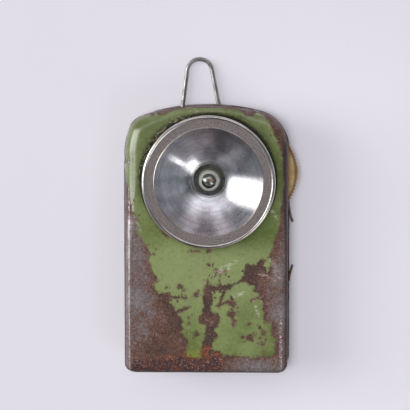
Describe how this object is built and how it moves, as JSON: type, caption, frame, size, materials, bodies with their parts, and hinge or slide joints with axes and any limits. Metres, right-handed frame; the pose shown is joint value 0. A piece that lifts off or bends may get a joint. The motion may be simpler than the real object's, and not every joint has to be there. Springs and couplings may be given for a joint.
{
  "type": "pocket flashlight",
  "caption": "Flat pressed-steel pocket flashlight with a round bezel lens, a hinged rear cover, a side thumbwheel switch, a wire hanging loop and a flat battery inside.",
  "frame": {"origin": "middle of the flat back face of the rear cover", "axes": "+Z out of the lens, +Y towards the hanging loop, +X towards the thumbwheel"},
  "size_m": [0.0726, 0.1299, 0.0329],
  "materials": {
    "green_paint": "worn olive green paint over rusted sheet steel",
    "plain_steel": "dull plain steel",
    "loop_wire": "worn plated steel wire",
    "liner_card": "brown insulating card",
    "nickel": "dull nickel plate with bright rolled edges",
    "lens_glass": "clear flat glass",
    "reflector_mirror": "polished bowl",
    "brass": "dull tarnished brass",
    "bulb_glass": "clear bulb glass",
    "black_glass": "black glass insulator",
    "solder": "dull solder",
    "filament": "wires with a glass bead",
    "tan_plastic": "tan moulded plastic with a toothed rim",
    "fibre_board": "red-brown vulcanised fibre",
    "battery_card": "plain buff carton",
    "pitch": "black sealing pitch"
  },
  "bodies": {
    "cover": {"rear_cover": "green_paint", "hinge_pin": "plain_steel", "loop_strap": "plain_steel", "strap_rivets": "plain_steel", "insulating_liner": "liner_card"},
    "case": {"front_shell": "green_paint", "bezel_ring": "nickel", "lens_glass": "lens_glass", "reflector": "reflector_mirror", "bulb_socket": "brass", "bulb_glass": "bulb_glass", "bulb_base": "brass", "bulb_insulator": "black_glass", "bulb_tip": "solder", "bulb_filament": "filament", "wheel_axle": "plain_steel", "wheel_washer": "plain_steel", "wheel_spacer": "brass", "contact_board": "fibre_board", "board_rivets": "plain_steel", "board_eyelets": "brass", "switch_spring": "brass", "battery_contact": "brass", "bulb_contact_strip": "brass", "battery_body": "battery_card", "battery_top": "pitch", "battery_tongue_long": "brass", "battery_tongue_short": "brass"},
    "wheel": {"thumbwheel": "tan_plastic", "contact_bridge": "brass", "bridge_rivets": "brass"},
    "loop": {"hanging_loop": "loop_wire"}
  },
  "joints": [
    {"name": "case_hinge", "type": "hinge", "parent": "cover", "child": "case", "pos_m": [-0.0343, -0.0028, 0.0065], "axis": [0, -1, 0], "range_deg": [0, 100]},
    {"name": "wheel_turn", "type": "hinge", "parent": "case", "child": "wheel", "pos_m": [0.0168, 0.02725, 0.012], "axis": [0, 0, 1], "range_deg": [0, 45]},
    {"name": "loop_swing", "type": "hinge", "parent": "cover", "child": "loop", "pos_m": [-0.0032, 0.05145, 0.002], "axis": [1, 0, 0], "range_deg": [0, 45]}
  ]
}
